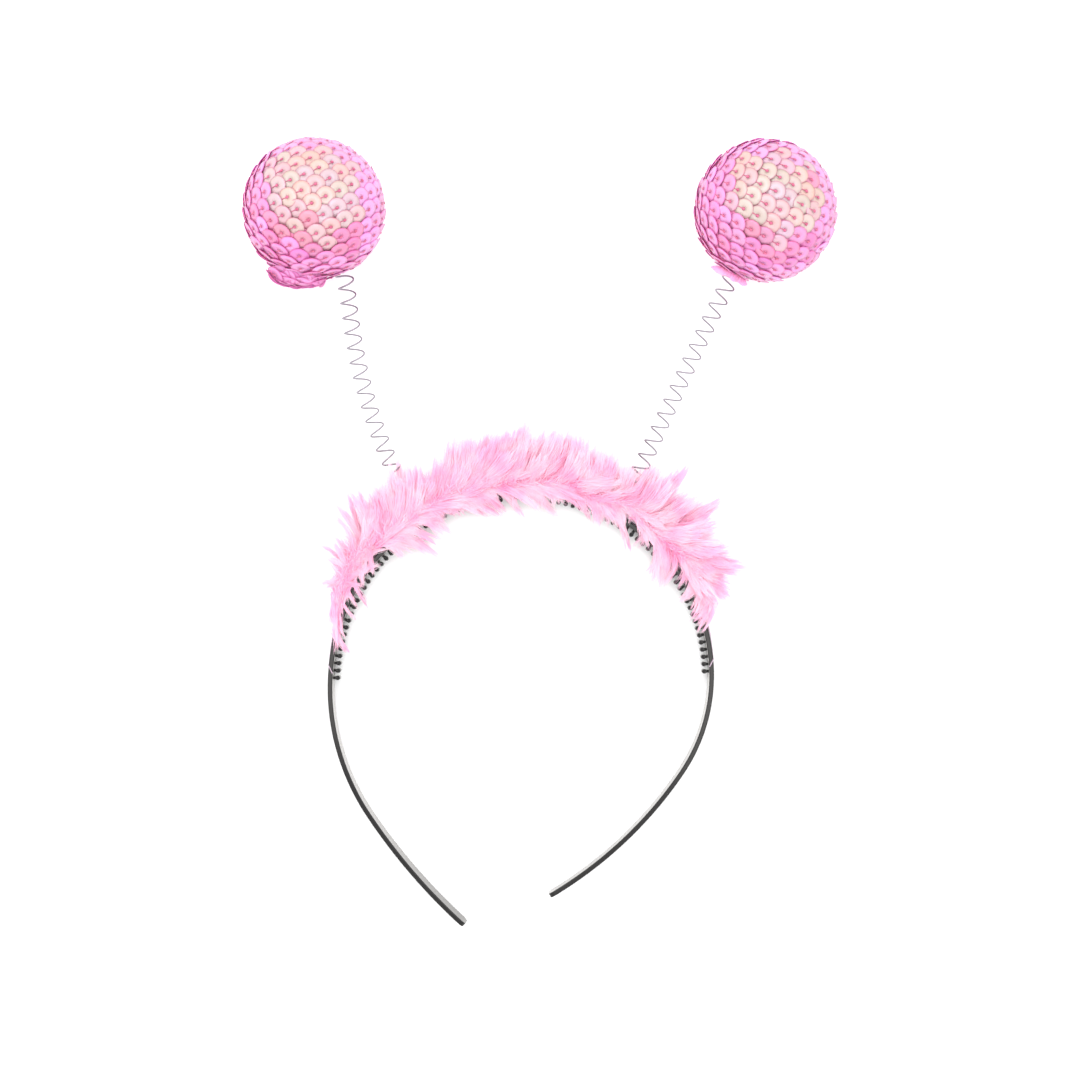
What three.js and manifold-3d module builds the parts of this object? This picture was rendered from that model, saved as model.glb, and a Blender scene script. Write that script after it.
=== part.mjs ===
import * as THREE from "three";
import { mergeVertices } from "three/addons/utils/BufferGeometryUtils.js";
import Module from "manifold-3d";

// A costume headband with a feather trim and two sequin balls on springs, lying flat.
// Millimetres and degrees, +Z up, +Y from the open tips of the band towards its crown.
// A station is a place on the band's centre line, counted from the top of the crown:
// negative towards the left tip, positive towards the right one.

const gap = 0.3;

// Headband: arcs of its centre line from the crown to each tip
const crownRadius = 60;
const crownTilt = 1;
const leftSideRadius = 71.4;
const leftTipRadius = 188.5;
const rightSideRadius = 54.6;
const rightTipRadius = 128.5;
const leftArm = [
  { radius: crownRadius, turn: 80.6 },
  { radius: leftSideRadius, turn: 42.2 },
  { radius: leftTipRadius, turn: 14 },
];
const rightArm = [
  { radius: crownRadius, turn: 64.9 },
  { radius: rightSideRadius, turn: 60 },
  { radius: rightTipRadius, turn: 25.6 },
];

// Headband: its section, its taper and the left arm's twist towards its tip
const bandWidth = 9;
const tipWidth = 6.6;
const bandThickness = 1.5;
const bandChamfer = 0.4;
const bandStep = 6;
const taperStart = 95;
const tipRound = 1.6;
const tipRoundSteps = [0, 0.12, 0.45, 1];
const leftTipLean = 6;
const tipLeanLength = 70;

// Grip teeth on the inner face
const teethSpan = 183;
const toothPitch = 2.38;
const toothLength = 2.2;
const toothNeck = 1;
const toothKnob = 1.5;
const knobShare = 0.66;
const toothHeight = 5.4;
const toothSink = 0.3;

// Feather trim: a backing strip on the outer face, with plumes fused to it
const backingSpan = 175;
const backingSeat = 0.4;
const backingThickness = 0.9;
const backingWidth = 8.6;
const featherStart = -84.4;
const featherSpan = 158;
const plumeReach = 24;
const plumeWidth = 9.5;
const plumeFlatness = 0.5;
const plumeArch = 4;
const overArch = 9;
const archShare = 0.4;
const overLean = 100;
const overSeat = 0.9;
const crestCount = 8;
const crestReach = 11;
const crestWidth = 9;
const crestStart = 0.16;
const crestSpan = 0.76;
const crestLeans = [10, 60];
const crestRises = [52, 44, 36];

// Springs
const coilDiameter = 5;
const wireDiameter = 0.55;
const coilPitch = 4.7;
const coilStart = 104;
const wireSides = 5;
const stepsPerTurn = 7;
const lengthSamples = 4;
const roomSides = 8;
const roomSteps = 20;

// Balls
const ballRadius = 21.8;
const socketDepth = 9;
const sequinRows = 14;
const sequinRelief = 0.9;
const rimStep = 0.01;
const ballSegments = 22;
const neckDrop = 9;

// Each ball's place: where its spring stands on the band, how far and which way the ball's
// centre lies from there, which way the ball's own axis points (from +Y, clockwise), and how
// far the spring keeps to the band's normal and to the ball's axis, as shares of its span
const leftBopper = {
  name: "left",
  station: -32.3,
  reach: 99.6,
  bearing: -18.4,
  ballBearing: -24,
  footBend: 0.55,
  neckBend: 0.08,
};
const rightBopper = {
  name: "right",
  station: 32.4,
  reach: 103,
  bearing: 25.5,
  ballBearing: 27,
  footBend: 0.06,
  neckBend: 0.32,
};

// Loose seam of the left ball's cover, as a flat bulge low on its limb
const seamBulge = { around: 40, outward: 3.6, along: 8, lift: 5.5, sink: 1.2 };
const bulgeSegments = 10;
const bulgeRings = 8;

// Frayed cloth end round the right ball's neck: lobes of a thin collar
const tuftThickness = 2.2;
const tuftWaist = 4.4;
const tuftHoleSides = 12;
const lobeHalfAngle = 9;
const tuftLobes = [
  { turn: 20, reach: 5.2 },
  { turn: 85, reach: 6 },
  { turn: 150, reach: 7.6 },
  { turn: 215, reach: 6.2 },
  { turn: 290, reach: 5.4 },
];

// Plumes of the trim. along: share of the feathered stretch; lean: from the outward normal
// towards the right tip; reach and width: shares of plumeReach and plumeWidth; rise: above
// the level. Those that lean past overLean pass over the band towards its inside.
const plumes = [
  { along: 0.12, lean: 34, reach: 0.66, width: 0.3, rise: 6 },
  { along: 0.13, lean: -104, reach: 0.8, width: 0.34, rise: 2 },
  { along: 0.15, lean: -50, reach: 0.34, width: 0.5, rise: 8 },
  { along: 0.2, lean: -11, reach: 0.44, width: 0.75, rise: 4 },
  { along: 0.2, lean: 16, reach: 0.86, width: 0.6, rise: 14 },
  { along: 0.22, lean: 32, reach: 0.81, width: 1, rise: 6 },
  { along: 0.26, lean: 46, reach: 1, width: 1, rise: 8 },
  { along: 0.28, lean: 59, reach: 0.92, width: 1, rise: 18 },
  { along: 0.3, lean: 62, reach: 0.78, width: 0.9, rise: 5 },
  { along: 0.36, lean: 34, reach: 0.61, width: 0.9, rise: 20 },
  { along: 0.37, lean: 37, reach: 0.86, width: 1, rise: 8 },
  { along: 0.4, lean: 38, reach: 0.82, width: 1.1, rise: 16 },
  { along: 0.44, lean: 42, reach: 0.97, width: 1.2, rise: 5 },
  { along: 0.49, lean: 29, reach: 0.9, width: 1.1, rise: 18 },
  { along: 0.53, lean: 18, reach: 0.75, width: 1, rise: 5 },
  { along: 0.6, lean: -4, reach: 0.77, width: 1, rise: 14 },
  { along: 0.63, lean: -8, reach: 0.76, width: 1, rise: 6 },
  { along: 0.66, lean: 4, reach: 0.76, width: 1, rise: 16 },
  { along: 0.68, lean: 6, reach: 0.66, width: 1, rise: 5 },
  { along: 0.715, lean: 4, reach: 0.52, width: 0.8, rise: 12 },
  { along: 0.785, lean: 3, reach: 0.9, width: 0.55, rise: 10 },
  { along: 0.795, lean: 14, reach: 0.68, width: 1, rise: 18 },
  { along: 0.81, lean: 28, reach: 1.03, width: 0.95, rise: 5 },
  { along: 0.83, lean: 37, reach: 0.76, width: 1.1, rise: 18 },
  { along: 0.85, lean: 53, reach: 0.96, width: 1, rise: 8 },
  { along: 0.89, lean: 66, reach: 0.8, width: 0.9, rise: 5 },
  { along: 0.92, lean: 80, reach: 0.64, width: 0.9, rise: 4 },
  { along: 0.13, lean: -160, reach: 0.42, width: 0.3, rise: 4 },
  { along: 0.23, lean: 142, reach: 0.7, width: 0.5, rise: 2 },
  { along: 0.3, lean: 135, reach: 0.63, width: 0.6, rise: 4 },
  { along: 0.365, lean: 128, reach: 0.8, width: 0.5, rise: 3 },
  { along: 0.5, lean: 160, reach: 0.5, width: 0.6, rise: 4 },
  { along: 0.57, lean: 136, reach: 0.54, width: 0.6, rise: 4 },
  { along: 0.65, lean: 128, reach: 0.52, width: 0.6, rise: 4 },
  { along: 0.715, lean: 131, reach: 0.74, width: 0.5, rise: 2 },
  { along: 0.83, lean: 136, reach: 0.64, width: 1, rise: 2 },
  { along: 0.87, lean: -178, reach: 0.56, width: 0.35, rise: 4 },
];

// Width of a plume along its length, as shares of its own length and width
const plumeSections = [
  { along: 0, width: 0.3 },
  { along: 0.6, width: 1 },
  { along: 1, width: 0.3 },
];
const overSections = [
  { along: 0, width: 0.6 },
  { along: 0.4, width: 1 },
  { along: 1, width: 0.35 },
];

const up = new THREE.Vector3(0, 0, 1);
const bandMiddle = bandWidth / 2;
const coilOuter = (coilDiameter + wireDiameter) / 2;

const colours = {
  plastic: new THREE.MeshStandardMaterial({ color: 0x24242a, roughness: 0.35, metalness: 0 }),
  feather: new THREE.MeshStandardMaterial({ color: 0xfdbfe2, roughness: 0.9, metalness: 0 }),
  steel: new THREE.MeshStandardMaterial({ color: 0xb9b5bd, roughness: 0.25, metalness: 1 }),
  sequins: new THREE.MeshStandardMaterial({ color: 0xf0a8d8, roughness: 0.25, metalness: 0.2 }),
  cloth: new THREE.MeshStandardMaterial({ color: 0xf08cc4, roughness: 0.9, metalness: 0 }),
};

const wasm = await Module();
wasm.setup();

// A closed geometry as a solid that can be joined and cut
function toSolid(geometry) {
  const plain = geometry.clone();
  plain.deleteAttribute("normal");
  plain.deleteAttribute("uv");
  const merged = mergeVertices(plain);
  const corners = merged.index.array;
  const triangles = [];
  for (let i = 0; i < corners.length; i += 3) {
    const [a, b, c] = [corners[i], corners[i + 1], corners[i + 2]];
    if (a !== b && b !== c && c !== a) triangles.push(a, b, c);
  }
  return new wasm.Manifold(new wasm.Mesh({
    numProp: 3,
    vertProperties: new Float32Array(merged.attributes.position.array),
    triVerts: new Uint32Array(triangles),
  }));
}

function toGeometry(solid) {
  const mesh = solid.getMesh();
  const geometry = new THREE.BufferGeometry();
  geometry.setAttribute("position", new THREE.BufferAttribute(mesh.vertProperties, 3));
  geometry.setIndex(new THREE.BufferAttribute(mesh.triVerts, 1));
  geometry.computeVertexNormals();
  return geometry;
}

function joinAll(solids) {
  return solids.reduce((whole, solid) => whole.add(solid));
}

function largestBody(solid) {
  return solid.decompose().reduce((best, body) => (body.volume() > best.volume() ? body : best));
}

// Closed skin through rings of equally many points, with flat ends
function loft(rings) {
  const count = rings[0].length;
  const last = (rings.length - 1) * count;
  const index = [];
  for (let r = 0; r < rings.length - 1; r++) {
    for (let i = 0; i < count; i++) {
      const a = r * count + i;
      const b = r * count + ((i + 1) % count);
      index.push(a, b, b + count, a, b + count, a + count);
    }
  }
  for (let i = 1; i < count - 1; i++) {
    index.push(0, i + 1, i);
    index.push(last, last + i, last + i + 1);
  }
  const geometry = new THREE.BufferGeometry();
  geometry.setFromPoints(rings.flat());
  geometry.setIndex(index);
  return geometry;
}

const degrees = THREE.MathUtils.degToRad;

function heading(angle) {
  return new THREE.Vector3(Math.cos(degrees(angle)), Math.sin(degrees(angle)), 0);
}

function armLength(arm) {
  return arm.reduce((sum, arc) => sum + arc.radius * degrees(arc.turn), 0);
}

// Place, direction to the right tip and outward normal at a station
function bandAt(station) {
  const side = Math.sign(station) || 1;
  const arm = side < 0 ? leftArm : rightArm;
  const point = new THREE.Vector3(0, crownRadius, 0);
  let angle = crownTilt;
  let left = Math.abs(station);
  arm.forEach((arc, i) => {
    const isLast = i === arm.length - 1;
    const length = isLast ? left : Math.min(left, arc.radius * degrees(arc.turn));
    const turn = THREE.MathUtils.radToDeg(length / arc.radius);
    const chord = 2 * arc.radius * Math.sin(degrees(turn / 2));
    point.addScaledVector(heading(angle - (side * turn) / 2), side * chord);
    angle -= side * turn;
    left -= length;
  });
  return { point, along: heading(angle), outward: heading(angle + 90) };
}

function armLengthAt(station) {
  return station < 0 ? armLength(leftArm) : armLength(rightArm);
}

function bandWidthAt(station) {
  const share = THREE.MathUtils.smoothstep(Math.abs(station), taperStart, armLengthAt(station));
  return THREE.MathUtils.lerp(bandWidth, tipWidth, share);
}

// How far each edge draws in at a round tip
function tipRoundingAt(station) {
  const fromTip = Math.min(armLengthAt(station) - Math.abs(station), tipRound);
  return tipRound - Math.sqrt(Math.max(0, tipRound ** 2 - (tipRound - fromTip) ** 2));
}

// The left arm twists a little towards its tip, so that its inner face looks up
function bandLeanAt(station) {
  const start = armLength(leftArm) - tipLeanLength;
  return leftTipLean * THREE.MathUtils.smoothstep(-station, start, armLength(leftArm));
}

// Eight corners of the band's section, grown by a margin; its lower edge lies on the surface
function bandRing(station, margin) {
  const { point, outward } = bandAt(station);
  const halfWidth = bandWidthAt(station) / 2;
  const width = halfWidth - tipRoundingAt(station) + margin;
  const thickness = bandThickness / 2 + margin;
  const lean = degrees(bandLeanAt(station));
  const middle = halfWidth * Math.cos(lean) + (bandThickness / 2) * Math.sin(lean);
  const corners = [
    [thickness, width - bandChamfer],
    [thickness - bandChamfer, width],
    [bandChamfer - thickness, width],
    [-thickness, width - bandChamfer],
    [-thickness, bandChamfer - width],
    [bandChamfer - thickness, -width],
    [thickness - bandChamfer, -width],
    [thickness, bandChamfer - width],
  ];
  return corners.map(([out, rise]) => {
    const turnedOut = out * Math.cos(lean) + rise * Math.sin(lean);
    const turnedUp = rise * Math.cos(lean) - out * Math.sin(lean);
    return point.clone().addScaledVector(outward, turnedOut).addScaledVector(up, middle + turnedUp);
  });
}

function bandStations() {
  const leftEnd = armLength(leftArm);
  const rightEnd = armLength(rightArm);
  const stretch = leftEnd + rightEnd - 2 * tipRound;
  const count = Math.ceil(stretch / bandStep);
  const stations = tipRoundSteps.map((share) => -leftEnd + share * tipRound);
  for (let i = 1; i < count; i++) stations.push(-leftEnd + tipRound + (i * stretch) / count);
  return stations.concat(tipRoundSteps.toReversed().map((share) => rightEnd - share * tipRound));
}

function bandSolid(margin) {
  return toSolid(loft(bandStations().map((station) => bandRing(station, margin))));
}

// One tooth: a short bar with a knobbed end, standing on the inner face
function toothSolid(station) {
  const outline = new THREE.Shape([
    new THREE.Vector2(-toothNeck / 2, -toothSink),
    new THREE.Vector2(toothNeck / 2, -toothSink),
    new THREE.Vector2(toothKnob / 2, toothLength * knobShare),
    new THREE.Vector2(0, toothLength),
    new THREE.Vector2(-toothKnob / 2, toothLength * knobShare),
  ]);
  const bar = new THREE.ExtrudeGeometry(outline, { depth: toothHeight, bevelEnabled: false });
  const { point, along, outward } = bandAt(station);
  const seat = point.clone().addScaledVector(outward, -bandThickness / 2);
  seat.z = bandMiddle - toothHeight / 2;
  const place = new THREE.Matrix4();
  place.makeBasis(along.clone().negate(), outward.clone().negate(), up);
  place.setPosition(seat);
  return toSolid(bar.applyMatrix4(place));
}

function makeHeadband() {
  const count = Math.round(teethSpan / toothPitch);
  const solids = [bandSolid(0)];
  for (let i = 0; i <= count; i++) solids.push(toothSolid((i - count / 2) * toothPitch));
  const mesh = new THREE.Mesh(toGeometry(joinAll(solids)), colours.plastic);
  mesh.name = "headband";
  return mesh;
}

function backingSolid() {
  const near = bandThickness / 2 + backingSeat;
  const far = near + backingThickness;
  const count = Math.ceil(backingSpan / bandStep);
  const rings = [];
  for (let i = 0; i <= count; i++) {
    const { point, outward } = bandAt((i / count - 0.5) * backingSpan);
    const top = bandMiddle + backingWidth / 2;
    const foot = bandMiddle - backingWidth / 2;
    rings.push([[far, top], [near, top], [near, foot], [far, foot]]
      .map(([out, rise]) => point.clone().addScaledVector(outward, out).addScaledVector(up, rise)));
  }
  return toSolid(loft(rings));
}

// A flattened, tapering plume along a bent line to its tip. It starts in the middle of the
// backing, or, where it passes over the band, at the top of the backing's outer face
function plumeSolid({ station, lean, reach, width, rise }) {
  const isOver = Math.abs(lean) > overLean;
  const arch = isOver ? overArch : plumeArch;
  const sections = isOver ? overSections : plumeSections;
  const { point, along, outward } = bandAt(station);
  const direction = outward.clone().multiplyScalar(Math.cos(degrees(lean)));
  direction.addScaledVector(along, Math.sin(degrees(lean)));
  const depth = isOver ? backingThickness : backingThickness / 2;
  const root = point.clone().addScaledVector(outward, bandThickness / 2 + backingSeat + depth);
  root.z = isOver ? bandWidth - overSeat : bandMiddle;
  const tip = root.clone().addScaledVector(direction, reach);
  tip.z += reach * Math.tan(degrees(rise));
  const bend = root.clone().lerp(tip, archShare).addScaledVector(up, arch);
  const line = new THREE.QuadraticBezierCurve3(root, bend, tip);
  const across = new THREE.Vector3().crossVectors(up, direction).normalize();
  const rings = sections.map((section) => {
    const centre = line.getPoint(section.along);
    const ahead = line.getTangent(section.along);
    const lift = new THREE.Vector3().crossVectors(ahead, across).normalize();
    const half = (width * section.width) / 2;
    const halfLift = half * plumeFlatness;
    return [[half, 0], [0, halfLift], [-half, 0], [0, -halfLift]]
      .map(([side, over]) => centre.clone().addScaledVector(across, side).addScaledVector(lift, over));
  });
  return toSolid(loft(rings));
}

function trimPlumes() {
  const solids = plumes.map((row) => plumeSolid({
    station: featherStart + row.along * featherSpan,
    lean: row.lean,
    reach: row.reach * plumeReach,
    width: row.width * plumeWidth,
    rise: row.rise,
  }));
  for (let i = 0; i < crestCount; i++) {
    const share = crestStart + (crestSpan * i) / (crestCount - 1);
    solids.push(plumeSolid({
      station: featherStart + share * featherSpan,
      lean: crestLeans[i % crestLeans.length],
      reach: crestReach,
      width: crestWidth,
      rise: crestRises[i % crestRises.length],
    }));
  }
  return solids;
}

// Where a ball's spring stands, where the ball is and how it points
function bopperFrame({ station, reach, bearing, ballBearing, footBend, neckBend }) {
  const { point, outward } = bandAt(station);
  const foot = point.clone().addScaledVector(outward, bandThickness / 2 + gap + wireDiameter / 2);
  foot.z = bandMiddle;
  const centre = foot.clone().addScaledVector(heading(90 - bearing), reach);
  centre.z = ballRadius;
  const axis = heading(90 - ballBearing).multiplyScalar(Math.cos(degrees(neckDrop)));
  axis.z = Math.sin(degrees(neckDrop));
  const mouth = centre.clone().addScaledVector(axis, -ballRadius);
  const inner = mouth.clone().addScaledVector(axis, socketDepth - gap - wireDiameter / 2);
  return { foot, outward, centre, axis, mouth, inner, footBend, neckBend };
}

// The spring's centre line: bent from the band to the ball, then straight into the socket
function springLine({ foot, outward, axis, mouth, inner, footBend, neckBend }) {
  const span = foot.distanceTo(mouth);
  const line = new THREE.CurvePath();
  line.add(new THREE.CubicBezierCurve3(
    foot,
    foot.clone().addScaledVector(outward, footBend * span),
    mouth.clone().addScaledVector(axis, -neckBend * span),
    mouth,
  ));
  line.add(new THREE.LineCurve3(mouth, inner));
  return line;
}

// The wire's own line: left-handed turns round the spring's centre line
class CoilCurve extends THREE.Curve {
  constructor(line, turns) {
    super();
    this.line = line;
    this.turns = turns;
    this.arcLengthDivisions = Math.round(turns * stepsPerTurn * lengthSamples);
  }

  getPoint(t, target = new THREE.Vector3()) {
    const ahead = this.line.getTangent(t);
    const side = new THREE.Vector3().crossVectors(ahead, up).normalize();
    const drop = new THREE.Vector3().crossVectors(ahead, side);
    const turn = degrees(coilStart) + 2 * Math.PI * this.turns * t;
    return target.copy(this.line.getPoint(t))
      .addScaledVector(side, (coilDiameter / 2) * Math.cos(turn))
      .addScaledVector(drop, (coilDiameter / 2) * Math.sin(turn));
  }
}

function roundShape(radius, sides) {
  const points = [];
  for (let i = 0; i < sides; i++) {
    const turn = (2 * Math.PI * i) / sides;
    points.push(new THREE.Vector2(radius * Math.cos(turn), radius * Math.sin(turn)));
  }
  return new THREE.Shape(points);
}

function makeSpring(name, line) {
  const turns = line.getLength() / coilPitch;
  const wire = new THREE.ExtrudeGeometry(roundShape(wireDiameter / 2, wireSides), {
    steps: Math.round(turns * stepsPerTurn),
    extrudePath: new CoilCurve(line, turns),
    bevelEnabled: false,
  });
  const mesh = new THREE.Mesh(wire, colours.steel);
  mesh.name = `spring_${name}`;
  return mesh;
}

// Room that the trim leaves round a spring, from the band's face outwards
function springRoom({ foot, outward }, line) {
  const behind = foot.clone().addScaledVector(outward, -gap - wireDiameter);
  const path = new THREE.CurvePath();
  path.add(new THREE.LineCurve3(behind, foot));
  line.curves.forEach((curve) => path.add(curve));
  const room = new THREE.ExtrudeGeometry(roundShape(coilOuter + 2 * gap, roomSides), {
    steps: roomSteps,
    extrudePath: path,
    bevelEnabled: false,
  });
  return toSolid(room);
}

// Everything below the surface that the band lies on, as far as any plume can reach
function floorSolid() {
  const size = backingSpan + 2 * plumeReach;
  const block = new THREE.BoxGeometry(size, size, size);
  return toSolid(block.translate(0, 0, -size / 2));
}

function makeTrim(rooms) {
  const feathers = joinAll([backingSolid(), ...trimPlumes()]);
  const cut = [bandSolid(gap), floorSolid(), ...rooms]
    .reduce((solid, tool) => solid.subtract(tool), feathers);
  const mesh = new THREE.Mesh(toGeometry(largestBody(cut)), colours.feather);
  mesh.name = "feather_trim";
  return mesh;
}

// A ball about its own +Y axis, its neck at -Y: rows of sequins step outward from the neck
function ballGeometry() {
  const socketRadius = coilOuter + gap;
  const neckAngle = Math.asin(socketRadius / ballRadius);
  const profile = [
    new THREE.Vector2(0, socketDepth - ballRadius),
    new THREE.Vector2(socketRadius, socketDepth - ballRadius),
  ];
  const place = (angle, radius) => new THREE.Vector2(
    radius * Math.sin(angle),
    -radius * Math.cos(angle),
  );
  for (let row = 0; row < sequinRows; row++) {
    const start = THREE.MathUtils.lerp(neckAngle, Math.PI, row / sequinRows);
    const end = THREE.MathUtils.lerp(neckAngle, Math.PI, (row + 1) / sequinRows);
    profile.push(place(start, row === 0 ? ballRadius : ballRadius - sequinRelief));
    if (row < sequinRows - 1) profile.push(place(end - rimStep, ballRadius));
  }
  profile.push(new THREE.Vector2(0, ballRadius - sequinRelief));
  return new THREE.LatheGeometry(profile, ballSegments);
}

function placeOnAxis(mesh, { centre, axis }) {
  mesh.quaternion.setFromUnitVectors(new THREE.Vector3(0, 1, 0), axis);
  mesh.position.copy(centre);
}

function makeBall(name, frame, extra) {
  const ball = toSolid(ballGeometry());
  const whole = extra ? ball.add(extra(frame)) : ball;
  const mesh = new THREE.Mesh(toGeometry(whole), colours.sequins);
  mesh.name = `ball_${name}`;
  placeOnAxis(mesh, frame);
  return mesh;
}

// The bulge lies on the limb of the ball as seen from above, on the outer side of the neck
function seamSolid({ axis }) {
  const turnToLocal = new THREE.Quaternion()
    .setFromUnitVectors(new THREE.Vector3(0, 1, 0), axis).invert();
  const outward = axis.clone().setZ(0).normalize().negate()
    .applyAxisAngle(up, -degrees(seamBulge.around));
  const side = new THREE.Vector3().crossVectors(up, outward);
  const bulge = new THREE.SphereGeometry(1, bulgeSegments, bulgeRings);
  const place = new THREE.Matrix4().makeBasis(
    outward.clone().multiplyScalar(seamBulge.outward),
    side.multiplyScalar(seamBulge.along),
    up.clone().multiplyScalar(seamBulge.lift),
  );
  place.setPosition(outward.clone().multiplyScalar(ballRadius - seamBulge.sink));
  bulge.applyMatrix4(place).applyQuaternion(turnToLocal);
  return toSolid(bulge);
}

function makeTuft(frame) {
  const outline = new THREE.Shape();
  const spots = [];
  tuftLobes.forEach(({ turn, reach }, i) => {
    const isLast = i === tuftLobes.length - 1;
    const nextTurn = isLast ? tuftLobes[0].turn + 360 : tuftLobes[i + 1].turn;
    spots.push(heading(turn - lobeHalfAngle).multiplyScalar(reach));
    spots.push(heading(turn + lobeHalfAngle).multiplyScalar(reach));
    spots.push(heading((turn + nextTurn) / 2).multiplyScalar(tuftWaist));
  });
  outline.setFromPoints(spots.map((spot) => new THREE.Vector2(spot.x, spot.y)));
  outline.holes.push(roundShape(coilOuter + gap, tuftHoleSides));
  const collar = new THREE.ExtrudeGeometry(outline, { depth: tuftThickness, bevelEnabled: false });
  collar.rotateX(Math.PI / 2);
  collar.translate(0, -ballRadius - gap, 0);
  const mesh = new THREE.Mesh(collar, colours.cloth);
  mesh.name = "cloth_tuft";
  placeOnAxis(mesh, frame);
  return mesh;
}

// A ball sways about the middle of its spring
function swayGroup(line, meshes) {
  const group = new THREE.Group();
  const pivot = line.getPoint(0.5);
  meshes.forEach((mesh) => mesh.position.sub(pivot));
  group.position.copy(pivot);
  group.add(...meshes);
  return group;
}

const leftFrame = bopperFrame(leftBopper);
const rightFrame = bopperFrame(rightBopper);
const leftLine = springLine(leftFrame);
const rightLine = springLine(rightFrame);

const parts = new THREE.Group();
parts.add(makeHeadband());
parts.add(makeTrim([springRoom(leftFrame, leftLine), springRoom(rightFrame, rightLine)]));
parts.add(makeSpring(leftBopper.name, leftLine));
parts.add(makeSpring(rightBopper.name, rightLine));
parts.add(swayGroup(leftLine, [makeBall(leftBopper.name, leftFrame, seamSolid)]));
parts.add(swayGroup(rightLine, [makeBall(rightBopper.name, rightFrame), makeTuft(rightFrame)]));

// The origin is the middle of the surface that the object lies on
const box = new THREE.Box3().setFromObject(parts, true);
const middle = box.getCenter(new THREE.Vector3());
parts.position.set(-middle.x, -middle.y, -box.min.z);

const group = new THREE.Group();
group.add(parts);
export default group;
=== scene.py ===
import math

import bpy
import numpy as np
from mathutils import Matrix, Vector


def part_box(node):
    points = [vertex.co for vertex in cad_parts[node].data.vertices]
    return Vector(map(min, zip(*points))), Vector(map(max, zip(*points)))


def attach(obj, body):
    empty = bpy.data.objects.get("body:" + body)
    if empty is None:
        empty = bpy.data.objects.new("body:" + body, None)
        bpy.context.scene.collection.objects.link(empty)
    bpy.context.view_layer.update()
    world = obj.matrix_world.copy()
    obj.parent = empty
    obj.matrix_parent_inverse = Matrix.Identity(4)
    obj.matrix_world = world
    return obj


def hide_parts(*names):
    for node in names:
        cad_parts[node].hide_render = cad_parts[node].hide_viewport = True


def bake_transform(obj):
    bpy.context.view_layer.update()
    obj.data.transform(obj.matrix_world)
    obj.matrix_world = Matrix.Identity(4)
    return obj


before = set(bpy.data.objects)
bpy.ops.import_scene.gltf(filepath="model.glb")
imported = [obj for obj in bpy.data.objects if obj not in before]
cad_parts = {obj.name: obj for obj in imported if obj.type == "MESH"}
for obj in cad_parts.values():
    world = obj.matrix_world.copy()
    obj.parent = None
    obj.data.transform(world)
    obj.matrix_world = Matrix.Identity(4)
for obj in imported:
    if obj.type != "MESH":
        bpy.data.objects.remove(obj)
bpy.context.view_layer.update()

MM = 0.001
UP = np.array([0.0, 0.0, 1.0])

# The headband, as in the part's source, in metres and degrees. A station is a place on the
# band's centre line, counted from the top of the crown, negative towards the left tip.
CROWN_RADIUS = 60 * MM
CROWN_TILT = 1
LEFT_ARM = [(CROWN_RADIUS, 80.6), (71.4 * MM, 42.2), (188.5 * MM, 14)]
RIGHT_ARM = [(CROWN_RADIUS, 64.9), (54.6 * MM, 60), (128.5 * MM, 25.6)]
BAND_WIDTH = 9 * MM
TIP_WIDTH = 6.6 * MM
BAND_THICKNESS = 1.5 * MM
BAND_ROUND = 0.3 * MM
TAPER_START = 95 * MM
TIP_ROUND = 1.6 * MM
LEFT_TIP_LEAN = 6
TIP_LEAN_LENGTH = 70 * MM
TEETH_SPAN = 183 * MM
TOOTH_PITCH = 2.38 * MM
TOOTH_LENGTH = 2.2 * MM
TOOTH_HEIGHT = 5.4 * MM
TOOTH_NECK = 0.5 * MM
TOOTH_KNOB = 0.72 * MM
TOOTH_SINK = 0.3 * MM
TOOTH_SHANK = 0.7 * MM
TOOTH_ENDS = ((-1, 0.55), (-0.93, 0.85), (-0.8, 1), (0.8, 1), (0.93, 0.85), (1, 0.55))

# The springs and balls, as in the part's source
COIL_RADIUS = 2.5 * MM
WIRE_RADIUS = 0.275 * MM
COIL_PITCH = 4.7 * MM
COIL_START = 104
TURN_STEPS = 32
WIRE_SIDES = 8
GAP = 0.3 * MM
SOCKET_DEPTH = 9 * MM
NECK_DROP = 9
BALL_RADIUS = 21.8 * MM
BOPPERS = {
    "left": dict(station=-32.3 * MM, reach=99.6 * MM, bearing=-18.4, tilt=-24,
                 foot_bend=0.55, neck_bend=0.08),
    "right": dict(station=32.4 * MM, reach=103 * MM, bearing=25.5, tilt=27,
                  foot_bend=0.06, neck_bend=0.32),
}

# The feather trim: a film on the band's outer face, with the plumes' core along part of it. The
# film thins out towards its ends, where a loose strand of it crosses the band's upper edge.
FILM_SPAN = 175 * MM
FILM_SEAT = 0.35 * MM
FILM_THICKNESS = 0.5 * MM
FILM_THINNING = 16 * MM
FILM_GAP = 0.05 * MM
FILM_HALF_HEIGHT = 4.1 * MM
FILM_END_SHARE = 0.12
STRAND_RUN = 2.6 * MM
STRAND_HALVES = (0.15 * MM, 0.08 * MM)
STRAND_OVER = 0.15 * MM
STRAND_DROP = 1.1 * MM
STRAND_DROP_SHARE = 0.17

# The photograph: its scale in the band's plane, the pixel of the crown's top, the camera
PHOTO_SIZE = 1080
PHOTO_SCALE = 0.315 * MM
CROWN_PIXEL = (518.7, 491.8)
CAMERA_HEIGHT = 750 * MM
SENSOR = 36.0

# The studio: a plain floor under a pale world, with each light's place, target, size and power
FLOOR_HALF = 3.0
WORLD_LIGHT = 1.6
LIGHTS = {
    "overhead": ((0.05, 0.15, 1.3), (0, 0.02, 0), 0.9, 5.0),
    "key": ((-0.5, 0.7, 1.0), (0, 0.03, 0), 0.5, 2.0),
}


def heading(angle):
    return np.array([math.cos(math.radians(angle)), math.sin(math.radians(angle)), 0.0])


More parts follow.
